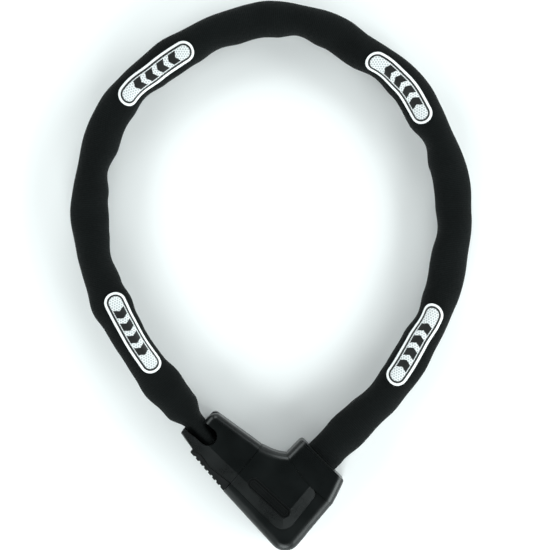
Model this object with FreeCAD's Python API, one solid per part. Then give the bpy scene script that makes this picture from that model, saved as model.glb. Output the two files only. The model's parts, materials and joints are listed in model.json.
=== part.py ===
"""Chain bike lock in a textile sleeve, closed into its loop and lying flat.

The loop lies in the XY plane with +Z up. The V-shaped lock body is at the -Y end. The chain
leaves its collar, runs once round the loop anticlockwise and ends in the plug head, whose steel
bolt sits in the lock body. Units are millimetres.
"""
import FreeCAD
import Part
import math
import os

V = FreeCAD.Vector
UP = V(0, 0, 1)
os.makedirs("parts", exist_ok=True)

# ---------------------------------------------------------------- driving dimensions
PITCH_PAIR = 62.0          # one flat link and one upright link, pivot to pivot
BAR = 7.0                  # square chain bar
BAR_EDGE = 2.6             # rounding of the bar's edges
LINK_GAP = 8.0             # inner width of a link
LINK_PLAY = 0.8            # free play where one link pulls on the next
MID_Z = 15.0               # height of the chain's and the lock's middle plane

# Headings of the flat and the upright link of each pair round the loop, in degrees from +X.
FLAT_HEADINGS = (44, 59, 78, 99, 122, 147, 190, 214, 246, 272, 295, 310)
UPRIGHT_HEADINGS = (48, 65, 86, 114, 144, 168, 204, 225, 258, 284, 302, 311)
CHAIN_START = V(42.0, -112.2, 0)     # first pivot, just outside the collar
ANCHOR_HEADING = 45                  # the anchor link and the collar point this way

SLEEVE_WIDTH = 25.0
SLEEVE_HEIGHT = 28.0
SLEEVE_CORNER = 9.0
SLEEVE_WALL = 1.1
SLEEVE_GAP = 0.4                     # between neighbouring sleeve segments
TAIL_WIDTH = 17.4                    # the sleeve's narrow end inside the plug head
TAIL_HEIGHT = 24.6
TAIL_OVERLAP = 2.0                   # how far the narrow end passes the last pivot
COLLAR_SLEEVE = (24.8, 24.8)         # width and height of the sleeve inside the collar

ARM_HEADING = -40                    # the lock's long axis, from the plug into the body
EYE_BACK = 28.0                      # plug eye to the seam between plug and body
THICK = 30.0                         # lock body and plug head, along Z
SKIN = 2.4                           # moulded wall
SPLIT = 0.15                         # half the parting gap between two moulded halves

EYE_R = 9.4                          # eye of the plug bolt, round the last upright link
EYE_HOLE_R = 4.5
EYE_THICK = 5.0
BOLT_R = 6.5                         # plug bolt
BOLT_GROOVE_R = 3.6
BOLT_REACH = 21.0                    # how far the plug bolt enters the body
GROOVE = (11.0, 16.0)                # where the groove lies along the bolt
SOCKET_R = 6.9
BOLT_TRAVEL = 3.0                    # locking bolt stroke
CAM_THROW = BOLT_TRAVEL / (2 * math.sin(math.radians(45)))
CAM_PIN_R = 1.25

ROTOR_R = 5.5
HOUSING_R = 7.8
CYLINDER = (31.3, 57.0)              # the lock cylinder's span along the arm
KEYWAY = (2.2, 7.6)

BRACKET = (-3.0, 11.6)               # anchor bracket's reach along the anchor link
PIN_BACK = 7.0                       # anchor pin, from the inner end's pivot
BODY_EDGE = 4.5                      # rounding of the body's outer edges
COLLAR_CORNER_EDGE = 2.3             # and of the collar's
FACET_DROP = 2.6                     # the panel's sloping edges fall this far to the bumper
FACET_RUN = 8.0                      # and are this wide
LABEL = (60.0, 15.0, 0.5)            # length, width and thickness of a reflective patch
LABELLED = {2: 0.0, 5: 0.0, 8: 0.0, 11: 6.0}    # chain pair: shift of its patch along the sleeve

LINK_INNER = PITCH_PAIR / 2 + LINK_PLAY
FLAT_STEP = LINK_INNER - BAR - 2 * LINK_PLAY     # pivot to pivot in a flat link
UPRIGHT_STEP = LINK_INNER + BAR                  # and in an upright one
CLEAR = 0.3


# ---------------------------------------------------------------- helpers
def save(shape, node):
    """Write one sub-part, and stop if it is not a sound solid."""
    if not shape.isValid() or shape.Volume <= 0:
        raise ValueError(f"{node} is not a valid solid")
    shape.exportStep(f"parts/{node}.step")
    print(f"{node:24s} {len(shape.Solids)} solid(s) {shape.Volume:10.1f} mm3")


def heading(degrees):
    """Unit vector in the XY plane at this angle from +X."""
    angle = math.radians(degrees)
    return V(math.cos(angle), math.sin(angle), 0)


def outline(points):
    """Closed face through (x, y, radius) corners, each rounded by its radius."""
    count = len(points)
    edges = []
    last = None
    first = None
    for i in range(count):
        x, y, radius = points[i]
        corner = V(x, y, 0)
        before = V(*points[i - 1][:2], 0)
        after = V(*points[(i + 1) % count][:2], 0)
        enter = corner
        leave = corner
        if radius:
            to_before = (before - corner).normalize()
            to_after = (after - corner).normalize()
            half = to_before.getAngle(to_after) / 2
            reach = radius / math.tan(half)
            enter = corner + to_before * reach
            leave = corner + to_after * reach
            middle = (to_before + to_after).normalize()
            apex = corner + middle * (radius / math.sin(half) - radius)
        if last is not None and last.distanceToPoint(enter) > 1e-6:
            edges.append(Part.makeLine(last, enter))
        if radius:
            edges.append(Part.Arc(enter, apex, leave).toShape())
        first = enter if first is None else first
        last = leave
    if last.distanceToPoint(first) > 1e-6:
        edges.append(Part.makeLine(last, first))
    return Part.Face(Part.Wire(edges))


def prism(face, low, high):
    """Extrude a flat face from z = low to z = high."""
    solid = face.extrude(V(0, 0, high - low))
    solid.translate(V(0, 0, low))
    return solid


def block(x0, x1, y0, y1, z0, z1):
    """Box between two corners."""
    return Part.makeBox(x1 - x0, y1 - y0, z1 - z0, V(x0, y0, z0))


def rod(radius, x0, x1, y=0.0, z=MID_Z):
    """Cylinder along the arm's own X axis."""
    return Part.makeCylinder(radius, x1 - x0, V(x0, y, z), V(1, 0, 0))


def post(radius, x, y, z0, z1):
    """Upright cylinder."""
    return Part.makeCylinder(radius, z1 - z0, V(x, y, z0), UP)


def level_edges(solid, heights):
    """Edges of the solid that lie in one of the given horizontal planes."""
    found = []
    for edge in solid.Edges:
        box = edge.BoundBox
        if box.ZLength < 1e-4 and any(abs(box.ZMin - h) < 1e-4 for h in heights):
            found.append(edge)
    return found


def slope_wedge(start, end):
    """Wedge above a slope that falls to the right of the line from start to end, at the top."""
    along = end - start
    right = V(along.y, -along.x, 0).normalize()
    reach = 4.0
    foot = start + right * (FACET_RUN * reach)
    profile = [start + V(0, 0, THICK), foot + V(0, 0, THICK - FACET_DROP * reach),
               foot + V(0, 0, THICK + 5), start + V(0, 0, THICK + 5)]
    solid = Part.Face(Part.makePolygon(profile + profile[:1])).extrude(along * 1.6)
    solid.translate(along * -0.3)
    return solid


def both_faces(tool):
    """A cutting tool together with its mirror image in the middle plane."""
    return [tool, tool.mirror(V(0, 0, MID_Z), UP)]


def in_arm(shape):
    """Place a shape drawn in the lock's own axes (X along the arm, origin on the seam)."""
    moved = shape.copy()
    arm = FreeCAD.Placement(SEAM, FreeCAD.Rotation(UP, ARM_HEADING))
    moved.Placement = arm.multiply(moved.Placement)
    return moved


def arm_point(point):
    """A point of the loop, in the lock's own axes."""
    offset = FreeCAD.Rotation(UP, -ARM_HEADING).multVec(point - SEAM)
    return V(offset.x, offset.y, 0)


# ---------------------------------------------------------------- the route of the chain
def chain_route():
    """Pivots P0..P12 and the bend inside each pair, from the collar round to the plug."""
    here = CHAIN_START
    pivots = [here]
    bends = []
    for flat, upright in zip(FLAT_HEADINGS, UPRIGHT_HEADINGS):
        bend = here + heading(flat) * FLAT_STEP
        here = bend + heading(upright) * UPRIGHT_STEP
        bends.append(bend)
        pivots.append(here)
    return pivots, bends


PIVOTS, BENDS = chain_route()
EYE = PIVOTS[-1]
SEAM = EYE + heading(ARM_HEADING) * EYE_BACK
ANCHOR_IN_ARM = arm_point(CHAIN_START)           # first pivot, in the lock's axes
ANCHOR_TURN = ANCHOR_HEADING - ARM_HEADING       # direction of the anchor link in those axes


# ---------------------------------------------------------------- chain
def link(centre, degrees, upright):
    """One stadium-shaped link of square bar, lying flat or standing on edge."""
    straight = LINK_INNER / 2 - LINK_GAP / 2

    def stadium(radius):
        end, corner = straight + radius, radius * 0.999
        return outline([(end, radius, corner), (-end, radius, corner),
                        (-end, -radius, corner), (end, -radius, corner)])

    ring = stadium(LINK_GAP / 2 + BAR).cut(stadium(LINK_GAP / 2))
    body = prism(ring, -BAR / 2, BAR / 2)
    body = body.makeFillet(BAR_EDGE, level_edges(body, (-BAR / 2, BAR / 2)))
    if upright:
        body.rotate(V(0, 0, 0), V(1, 0, 0), 90)
    body.rotate(V(0, 0, 0), UP, degrees)
    body.translate(centre + V(0, 0, MID_Z))
    return body


def link_pair(index):
    """The flat and the upright link that turn together about one pivot."""
    start, bend, end = PIVOTS[index], BENDS[index], PIVOTS[index + 1]
    flat = link((start + bend) * 0.5, FLAT_HEADINGS[index], False)
    upright = link((bend + end) * 0.5, UPRIGHT_HEADINGS[index], True)
    return Part.makeCompound([flat, upright])


def anchor_link():
    """Upright link held in the collar by the anchor pin."""
    centre = CHAIN_START - heading(ANCHOR_HEADING) * (UPRIGHT_STEP / 2)
    return link(centre, ANCHOR_HEADING, True)


# ---------------------------------------------------------------- sleeve
def tube(start, end, width, height, corner, middle_z, overrun):
    """Straight hollow sleeve along one link, longer than it by overrun at each end."""
    axis = (end - start).normalize()
    length = start.distanceToPoint(end) + 2 * overrun
    inner_corner = corner - SLEEVE_WALL

    def section(half_w, half_h, radius):
        return outline([(half_w, half_h, radius), (-half_w, half_h, radius),
                        (-half_w, -half_h, radius), (half_w, -half_h, radius)])

    wall = section(width / 2, height / 2, corner).cut(
        section(width / 2 - SLEEVE_WALL, height / 2 - SLEEVE_WALL, inner_corner))
    solid = wall.extrude(V(0, 0, length))
    turn = FreeCAD.Rotation(V(-axis.y, axis.x, 0), UP, axis, "ZXY")
    solid.Placement = FreeCAD.Placement(start - axis * overrun + V(0, 0, middle_z), turn)
    return solid


def keep_side(solid, point, direction, gap=0.0):
    """Cut away what lies behind the upright plane through point, facing direction."""
    size = 200.0
    normal = V(direction).normalize()
    tool = Part.makeBox(size, 2 * size, 2 * size, V(0, -size, -size))
    tool.Placement = FreeCAD.Placement(point + normal * gap, FreeCAD.Rotation(V(1, 0, 0), normal))
    return solid.common(tool)


def sleeve_segment(index):
    """Sleeve over one link pair, mitred at its bend and at both pivots."""
    start, bend, end = PIVOTS[index], BENDS[index], PIVOTS[index + 1]
    first_axis = heading(FLAT_HEADINGS[index])
    second_axis = heading(UPRIGHT_HEADINGS[index])
    last = index == len(BENDS) - 1
    before = heading(ANCHOR_HEADING if index == 0 else UPRIGHT_HEADINGS[index - 1])
    after = second_axis if last else heading(FLAT_HEADINGS[index + 1])
    overrun = 12.0
    first = tube(start, bend, SLEEVE_WIDTH, SLEEVE_HEIGHT, SLEEVE_CORNER, SLEEVE_HEIGHT / 2, overrun)
    second = tube(bend, end, SLEEVE_WIDTH, SLEEVE_HEIGHT, SLEEVE_CORNER, SLEEVE_HEIGHT / 2, overrun)
    at_bend = first_axis + second_axis
    first = keep_side(first, start, before + first_axis, SLEEVE_GAP / 2)
    first = keep_side(first, bend, at_bend * -1)
    second = keep_side(second, bend, at_bend)
    if not last:
        second = keep_side(second, end, (second_axis + after) * -1, SLEEVE_GAP / 2)
        return first.fuse(second).removeSplitter()
    neck = bend + second_axis * (BAR * 2 + CLEAR)
    tail = tube(neck, end, TAIL_WIDTH, TAIL_HEIGHT, SLEEVE_CORNER - 1, MID_Z, TAIL_OVERLAP)
    second = keep_side(second, neck, second_axis * -1)
    half_room = EYE_THICK / 2 + CLEAR
    eye_room = post(EYE_R + CLEAR, end.x, end.y, MID_Z - half_room, MID_Z + half_room)
    return first.fuse(second).fuse(tail).cut(eye_room).removeSplitter()


def collar_sleeve():
    """Short end of the sleeve inside the collar, up to the first pivot."""
    axis = heading(ANCHOR_HEADING)
    solid = tube(CHAIN_START - axis * 26.0, CHAIN_START, *COLLAR_SLEEVE, SLEEVE_CORNER - 1, MID_Z, 12.0)
    solid = keep_side(solid, CHAIN_START - axis * 26.0, axis)
    return keep_side(solid, CHAIN_START, (axis + heading(FLAT_HEADINGS[0])) * -1, SLEEVE_GAP / 2)


def reflective_label(index, shift):
    """Thin stadium-shaped patch on top of the sleeve, following its bend."""
    start, bend, end = PIVOTS[index], BENDS[index], PIVOTS[index + 1]
    length, width, thick = LABEL
    middle = (FLAT_STEP + UPRIGHT_STEP) / 2 + shift
    low = middle - length / 2
    high = middle + length / 2
    strips = []
    for origin, degrees, near, far in ((bend, FLAT_HEADINGS[index], low - FLAT_STEP, 8.0),
                                       (bend, UPRIGHT_HEADINGS[index], -8.0, high - FLAT_STEP)):
        radius = width / 2 * 0.999
        first = radius if near < -8.0 else 0
        second = radius if far > 8.0 else 0
        face = outline([(near, -width / 2, first), (far, -width / 2, second),
                        (far, width / 2, second), (near, width / 2, first)])
        strip = prism(face, SLEEVE_HEIGHT + 0.1, SLEEVE_HEIGHT + 0.1 + thick)
        along = FreeCAD.Placement(origin, FreeCAD.Rotation(UP, degrees))
        strip.Placement = along.multiply(strip.Placement)
        strips.append(strip)
    at_bend = heading(FLAT_HEADINGS[index]) + heading(UPRIGHT_HEADINGS[index])
    first = keep_side(strips[0], bend, at_bend * -1)
    second = keep_side(strips[1], bend, at_bend)
    return first.fuse(second).removeSplitter()


# ---------------------------------------------------------------- lock body, in the arm's axes
def body_outline():
    """Outline of the body without its collar."""
    return outline([(SPLIT, 19.8, 0), (10.0, 22.2, 30), (16.2, 26.0, 0), (25.0, 23.1, 0), (36.0, 20.6, 0),
                    (44.0, 19.6, 0), (60.8, 19.6, 0), (60.8, -28.2, 11), (SPLIT, -20.2, 0)])


def panel_outline():
    """Outline of the raised panels on the front and the rear, inside the bumper."""
    return outline([(SPLIT, 19.8, 0), (10.0, 22.2, 30), (16.2, 26.0, 0), (25.0, 23.1, 0), (36.0, 20.6, 0),
                    (48.4, 19.4, 5), (49.6, -16.4, 9), (SPLIT, -12.6, 0)])


def collar_outline():
    """Outline of the collar, from the body up to its rim."""
    return outline([(60.8, 19.8, 0), (59.4, 26.5, 40), (56.6, 37.0, 2.5), (17.4, 40.4, 2.5), (16.2, 26.2, 0),
                    (25.0, 23.3, 0), (36.0, 20.8, 0), (44.0, 19.8, 0)])


def collar_passage(width, height, reach_in, reach_out):
    """Rounded passage for the sleeve, along the anchor link."""
    radius = SLEEVE_CORNER - 0.8
    face = outline([(width / 2, height / 2, radius), (-width / 2, height / 2, radius),
                    (-width / 2, -height / 2, radius), (width / 2, -height / 2, radius)])
    solid = face.extrude(V(0, 0, reach_in + reach_out))
    axis = heading(ANCHOR_TURN)
    turn = FreeCAD.Rotation(V(-axis.y, axis.x, 0), UP, axis, "ZXY")
    solid.Placement = FreeCAD.Placement(ANCHOR_IN_ARM - axis * reach_in + V(0, 0, MID_Z), turn)
    return solid


def link_room():
    """Space that the anchor link and its bracket need inside the covers."""
    axis = heading(ANCHOR_TURN)
    centre = ANCHOR_IN_ARM - axis * 30.0
    room = Part.makeBox(32.0, 24.0, 24.0, V(-16.0, -12.0, MID_Z - 12.0))
    turn = FreeCAD.Placement(centre, FreeCAD.Rotation(UP, ANCHOR_TURN))
    room.Placement = turn.multiply(room.Placement)
    return room


def screw_places():
    """Where the cover screws stand."""
    return ((11.5, 18.0), (43.0, -11.3), (45.4, 12.9))


def moulded_body(low, high):
    """Body block between two heights, with its rounded outer edges, before it is divided."""
    solid = prism(body_outline(), low, high)
    soft = []
    for edge in level_edges(solid, (low, high)):
        middle = edge.valueAt((edge.FirstParameter + edge.LastParameter) / 2)
        if middle.y < -18 or middle.x > 55 or (middle.y > 19.9 and middle.x < 15.9):
            soft.append(edge)
    return solid.makeFillet(BODY_EDGE, soft)


def covers():
    """Raised front and rear panels, each a hollow moulding with screw bosses."""
    panel = panel_outline()
    solid = prism(panel, 0, THICK).common(moulded_body(0, THICK))
    long_slope = slope_wedge(V(0, -4.6, 0), V(49.6, -8.8, 0)).common(block(-20, 80, -40, 0, -20, 60))
    end_slope = slope_wedge(V(41.2, -14.0, 0), V(41.4, 21.0, 0)).common(block(38, 80, -40, 21, -20, 60))
    for tool in both_faces(long_slope) + both_faces(end_slope):
        solid = solid.cut(tool)
    floor = SKIN + FACET_DROP * 0.8
    cavity = prism(panel.makeOffset2D(-SKIN), floor, THICK - floor)
    solid = solid.cut(cavity)
    solid = solid.cut(rod(8.2, -5, SKIN + 1)).cut(rod(HOUSING_R + 0.2, CYLINDER[0], 70))
    solid = solid.cut(collar_passage(30, 25.2, 40, 10)).cut(link_room())
    front = solid.common(block(-5, 80, -40, 50, MID_Z + SPLIT, THICK))
    rear = solid.common(block(-5, 80, -40, 50, 0, MID_Z - SPLIT))
    for x, y in screw_places():
        front = front.fuse(post(3.1, x, y, MID_Z + SPLIT, THICK - SKIN)).cut(post(1.5, x, y, MID_Z, 24))
        rear = rear.fuse(post(3.1, x, y, SKIN / 2, MID_Z - SPLIT)).cut(post(1.6, x, y, -1, MID_Z))
        rear = rear.cut(post(2.6, x, y, -1, 3.2))
    plate = outline([(7.6, 1.8, 4.2), (7.6, -6.8, 4.2), (43.8, -8.6, 4.2), (43.8, 0.0, 4.2)])
    front = front.cut(prism(plate, THICK - 0.6, THICK + 1))
    return front.removeSplitter(), rear.removeSplitter()


def maker_plate():
    """Oblong raised plate on the front panel, left blank."""
    plate = outline([(7.8, 1.6, 4.0), (7.8, -6.6, 4.0), (43.6, -8.4, 4.0), (43.6, -0.2, 4.0)])
    solid = prism(plate, THICK - 0.6, THICK - 0.05)
    return solid


def rim_bumper():
    """Rubbery band round the outer edge, with the cylinder bore and the keyhole pocket."""
    solid = moulded_body(FACET_DROP, THICK - FACET_DROP)
    solid = solid.cut(prism(panel_outline().makeOffset2D(0.12), -1, THICK + 1))
    solid = solid.common(block(SPLIT, 61, -40, 19.5, 0, THICK))
    solid = solid.cut(rod(HOUSING_R + 0.2, 40, 57.4))
    solid = solid.cut(block(57.3, 62, -6.7, 17.7, MID_Z - 7.6, MID_Z + 7.6))
    return solid


def chain_collar():
    """Moulded collar round the place where the sleeve enters."""
    solid = prism(collar_outline(), 0, THICK)
    soft = []
    for edge in level_edges(solid, (0, THICK)):
        middle = edge.valueAt((edge.FirstParameter + edge.LastParameter) / 2)
        if middle.x > 57.5 or (middle.x < 17.0 and middle.y > 27):
            soft.append(edge)
    solid = solid.makeFillet(COLLAR_CORNER_EDGE, soft)
    solid = solid.cut(collar_passage(26.0, 25.2, 60, 20)).cut(link_room())
    rim = heading(math.degrees(math.atan2(3.4, -39.2)) - 90)
    return keep_side(solid, V(37.0, 38.7, 0) - rim * 1.5, rim * -1)


def collar_trim():
    """Thin lip round the collar's mouth."""
    solid = prism(collar_outline(), 0.5, THICK - 0.5)
    solid = solid.cut(collar_passage(25.6, 25.0, 60, 20))
    rim = heading(math.degrees(math.atan2(3.4, -39.2)) - 90)
    return keep_side(solid, V(37.0, 38.7, 0) - rim * 1.4, rim)


def lock_core():
    """Hardened block with the socket for the plug bolt and the channel for the locking bolt."""
    solid = block(SKIN + 0.3, 29.0, -10.0, 14.2, MID_Z - 9, MID_Z + 9)
    solid = solid.cut(rod(SOCKET_R, 0, 24.4))
    solid = solid.cut(block(GROOVE[0] + 0.1, 30, 5.8, 13.2, MID_Z - 3.3, MID_Z + 3.3))
    solid = solid.cut(block(25.0, 30, -8.6, 13.2, MID_Z - 6.4, MID_Z + 6.4))
    return solid


def locking_bolt():
    """Sliding bolt: a nose for the plug's groove, a leg, and a slotted tail for the cam pin."""
    nose = block(GROOVE[0] + 0.4, GROOVE[1] - 0.4, BOLT_R + 0.3, 12.6, MID_Z - 3, MID_Z + 3)
    leg = block(GROOVE[0] + 0.4, 28.0, BOLT_R + BOLT_TRAVEL + CLEAR, 12.6, MID_Z - 3, MID_Z + 3)
    tail = block(25.3, 28.0, -5.2, 12.6, MID_Z - 6, MID_Z + 6)
    side = CAM_THROW * math.sin(math.radians(45))
    half = CAM_PIN_R + 0.3
    slot = block(24, 29, side - half, side + half, MID_Z + side - half, MID_Z + CAM_THROW + half)
    return nose.fuse(leg).fuse(tail).cut(slot).removeSplitter()


def tail_cam():
    """Cam on the rotor's inner end, with the pin that moves the locking bolt."""
    side = CAM_THROW * math.sin(math.radians(45))
    disc = rod(5.0, 29.3, CYLINDER[0] - 0.1)
    pin = rod(CAM_PIN_R, 25.5, 29.4, side, MID_Z + side)
    stub = rod(2.0, CYLINDER[0] - 0.2, 33.5)
    return disc.fuse(pin).fuse(stub).removeSplitter()


def cylinder_housing():
    """Fixed barrel that the rotor turns in."""
    solid = rod(HOUSING_R, *CYLINDER).cut(rod(ROTOR_R + 0.08, 30, 60))
    return solid.cut(post(1.6, 50.0, 0, MID_Z + 4, MID_Z + 10))


def cylinder_rotor():
    """Turning cylinder with the keyway in its face and a chamber for the discs."""
    solid = rod(ROTOR_R, CYLINDER[0] + 0.1, CYLINDER[1] + 0.2)
    solid = solid.cut(rod(4.5, 34.0, 54.5)).cut(rod(2.05, 30, 35))
    width, height = KEYWAY
    return solid.cut(block(50, 60, -width / 2, width / 2, MID_Z - height / 2, MID_Z + height / 2))


def detainer_discs():
    """Stack of slotted discs that the key lines up."""
    width, height = KEYWAY
    discs = []
    for i in range(6):
        start = 34.6 + 3.3 * i
        disc = rod(4.4, start, start + 2.2)
        slot = block(start - 1, start + 4, -width / 2, width / 2, MID_Z - height / 2, MID_Z + height / 2)
        discs.append(disc.cut(slot))
    return Part.makeCompound(discs)


def keyhole_cover():
    """Sliding dust cover over the keyhole, with three grip ridges."""
    plate = block(58.3, 60.2, -6.3, 6.3, MID_Z - 7.2, MID_Z + 7.2)
    lip = plate.makeFillet(0.8, [e for e in plate.Edges if e.BoundBox.XMin > 60.1])
    for i in range(3):
        ridge = rod(0.45, -4.5, 4.5, 0, 0)
        ridge.rotate(V(0, 0, 0), V(0, 1, 0), 90)
        ridge.translate(V(60.2, -3.6 + 1.6 * i, MID_Z))
        lip = lip.fuse(ridge)
    return lip.removeSplitter()


def anchor_bracket():
    """Steel fork that carries the anchor pin on both sides of the anchor link."""
    axis_turn = FreeCAD.Rotation(UP, ANCHOR_TURN)
    inner_end = ANCHOR_IN_ARM - heading(ANCHOR_TURN) * UPRIGHT_STEP
    near, far = BRACKET
    solid = block(near, far, -7.2, 7.2, MID_Z - 11.9, MID_Z - 11.2)
    for side in (4.0, -7.2):
        solid = solid.fuse(block(near, far, side, side + 3.2, MID_Z - 11.9, MID_Z + 9))
    bore = Part.makeCylinder(3.05, 30, V(PIN_BACK, -15, MID_Z), V(0, 1, 0))
    solid = solid.cut(bore).removeSplitter()
    solid.Placement = FreeCAD.Placement(inner_end, axis_turn)
    return solid.cut(rod(HOUSING_R + CLEAR, 25, 60)).cut(block(0, 29.3, -20, 14.5, 0, THICK))


def anchor_pin():
    """Hardened cross pin through the anchor link."""
    inner_end = ANCHOR_IN_ARM - heading(ANCHOR_TURN) * UPRIGHT_STEP
    pin = Part.makeCylinder(3.0, 14.4, V(PIN_BACK, -7.2, MID_Z), V(0, 1, 0))
    turn = FreeCAD.Placement(inner_end, FreeCAD.Rotation(UP, ANCHOR_TURN))
    pin.Placement = turn.multiply(pin.Placement)
    return pin


def socket_seal():
    """Rubber ring in the mouth of the socket."""
    return rod(8.1, 0.4, SKIN).cut(rod(SOCKET_R, -1, 5))


def cover_screws():
    """Hexagon socket screws that hold the two covers together."""
    screws = []
    for x, y in screw_places():
        screw = post(2.4, x, y, 0.8, 3.1).fuse(post(1.4, x, y, 3.0, 22))
        socket = Part.Face(Part.makePolygon([V(x, y, 0) + heading(60 * i) * 1.4 for i in range(7)]))
        screws.append(screw.cut(prism(socket, 0, 2.2)).removeSplitter())
    return Part.makeCompound(screws)


def housing_screw():
    """Grub screw that keeps the cylinder housing from turning."""
    return post(1.5, 50.0, 0, MID_Z + ROTOR_R + 0.15, MID_Z + HOUSING_R)


# ---------------------------------------------------------------- plug head, in the arm's axes
def plug_outline():
    """Outline of the plug head; its X is negative, away from the body."""
    return outline([(-SPLIT, 19.6, 0), (-SPLIT, -12.4, 0), (-17.5, -13.3, 0), (-26.5, -10.6, 0),
                    (-33.5, -11.8, 0), (-46.6, -8.4, 1.2), (-46.6, -4.6, 0.6), (-39.2, -4.6, 0),
                    (-39.2, 9.0, 0), (-39.2, 17.0, 3.5)])


def plug_shells():
    """Front and rear halves of the plug head, with the U-shaped mouth for the sleeve."""
    solid = prism(plug_outline(), 0, THICK)
    soft = []
    for edge in level_edges(solid, (0, THICK)):
        middle = edge.valueAt((edge.FirstParameter + edge.LastParameter) / 2)
        if middle.y > 16.0:
            soft.append(edge)
    solid = solid.makeFillet(BODY_EDGE, soft)
    long_slope = slope_wedge(V(-44, -1.6, 0), V(0, -4.6, 0))
    for tool in both_faces(long_slope.common(block(-60, 5, -40, 0, -20, 60))):
        solid = solid.cut(tool)
    mouth = outline([(-60, 7.6, 0), (-60, -4.4, 0), (-25.2, -4.4, 5.9), (-25.2, 7.6, 5.9)])
    tail_turn = UPRIGHT_HEADINGS[-1] - ARM_HEADING - 180
    width, height = TAIL_WIDTH + 1.6, TAIL_HEIGHT + 0.8
    room_face = outline([(width / 2, height / 2, 8), (-width / 2, height / 2, 8),
                         (-width / 2, -height / 2, 8), (width / 2, -height / 2, 8)])
    room = room_face.extrude(V(0, 0, 60))
    axis = heading(tail_turn)
    turn = FreeCAD.Rotation(V(-axis.y, axis.x, 0), UP, axis, "ZXY")
    room.Placement = FreeCAD.Placement(V(-EYE_BACK, 0, MID_Z) - axis * 5.0, turn)
    solid = solid.cut(prism(mouth, -1, THICK + 1)).cut(room)
    solid = solid.cut(post(9.8, -EYE_BACK, 0, MID_Z - 3.8, MID_Z + 3.8))
    solid = solid.cut(rod(BOLT_R + 0.2, -20.5, 1)).cut(post(1.6, -8, 0, 2.8, THICK - 2.8))
    front = solid.common(block(-60, 1, -30, 30, MID_Z + SPLIT, THICK))
    rear = solid.common(block(-60, 1, -30, 30, 0, MID_Z - SPLIT))
    return front, rear


def thumb_grip():
    """Ribbed grip strip along one edge of the plug head."""
    face = outline([(-SPLIT - 0.2, -12.8, 0), (-17.4, -13.6, 0), (-26.4, -10.9, 0), (-33.3, -12.1, 0),
                    (-33.8, -14.0, 0.8), (-26.0, -15.2, 0), (-1.0, -19.4, 1.2), (-SPLIT - 0.2, -19.4, 0)])
    solid = prism(face, FACET_DROP + 0.5, THICK - FACET_DROP - 0.5)
    for i in range(7):
        along = 4.4 + 4.1 * i
        outer = -19.6 + 0.165 * along
        groove = Part.makeCylinder(0.9, 40, V(-along, outer + 0.1, -5), UP)
        solid = solid.cut(groove)
    return solid.removeSplitter()


def plug_bolt():
    """Forged bolt: grooved tip, shank, and the eye that closes round the last chain link."""
    shank = rod(BOLT_R, -20.0, BOLT_REACH)
    tip = [edge for edge in shank.Edges if edge.BoundBox.XMin > BOLT_REACH - 0.1]
    shank = shank.makeChamfer(1.5, tip)
    groove = rod(BOLT_R + 1, *GROOVE).cut(rod(BOLT_GROOVE_R, *GROOVE))
    shank = shank.cut(groove)
    low, high = MID_Z - EYE_THICK / 2, MID_Z + EYE_THICK / 2
    eye = post(EYE_R, -EYE_BACK, 0, low, high)
    neck = block(-21.0, -17.0, -5.6, 5.6, low, high)
    body = shank.fuse(eye).fuse(neck).cut(post(EYE_HOLE_R, -EYE_BACK, 0, 0, THICK))
    body = body.cut(post(1.55, -8, 0, 0, THICK)).removeSplitter()
    hole_end = -EYE_BACK + EYE_HOLE_R + 0.1
    rims = [edge for edge in level_edges(body, (low, high)) if edge.BoundBox.XMax < hole_end]
    return body.makeFillet(0.7, rims)


def plug_cross_pin():
    """Roll pin that holds the bolt in the plug head."""
    return post(1.5, -8, 0, 3.0, THICK - 3.0)


# ---------------------------------------------------------------- write every sub-part
def write_all():
    """Build and save each node."""
    for i in range(len(BENDS)):
        save(link_pair(i), f"chain_links_{i + 1:02d}")
        save(sleeve_segment(i), f"sleeve_{i + 1:02d}")
    for number, (pair, shift) in enumerate(LABELLED.items(), start=1):
        save(reflective_label(pair - 1, shift), f"reflective_label_{number}")
    save(anchor_link(), "anchor_link")
    save(collar_sleeve(), "sleeve_collar_end")

    front, rear = covers()
    plug_front, plug_rear = plug_shells()
    arm_parts = {
        "front_cover": front, "rear_cover": rear, "maker_plate": maker_plate(), "rim_bumper": rim_bumper(),
        "chain_collar": chain_collar(), "collar_trim": collar_trim(), "lock_core": lock_core(),
        "locking_bolt": locking_bolt(), "tail_cam": tail_cam(), "cylinder_housing": cylinder_housing(),
        "cylinder_rotor": cylinder_rotor(), "detainer_discs": detainer_discs(),
        "keyhole_cover": keyhole_cover(), "anchor_bracket": anchor_bracket(), "anchor_pin": anchor_pin(),
        "socket_seal": socket_seal(), "cover_screws": cover_screws(), "housing_screw": housing_screw(),
        "plug_front_shell": plug_front, "plug_rear_shell": plug_rear, "thumb_grip": thumb_grip(),
        "plug_bolt": plug_bolt(), "plug_cross_pin": plug_cross_pin(),
    }
    for node, shape in arm_parts.items():
        save(in_arm(shape), node)

    for i, pivot in enumerate(PIVOTS):
        print(f"pivot {i:2d} ({pivot.x:9.4f}, {pivot.y:9.4f})")
    print(f"seam ({SEAM.x:.4f}, {SEAM.y:.4f}), arm heading {ARM_HEADING}")


write_all()
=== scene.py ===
"""Looks of a chain bike lock in a ribbed textile sleeve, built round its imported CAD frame.

The sleeve is one woven tube, made as thirteen lengths that meet in the middle of a chain pair and
bend across the pivot between them. The lock body and the plug head are soft-edged mouldings made
from the CAD shells. Sizes are in millimetres and are turned into metres when a mesh is made.
"""
import json
import logging
import math
from collections.abc import Callable, Iterable
from dataclasses import dataclass, field, replace
from enum import Enum

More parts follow.
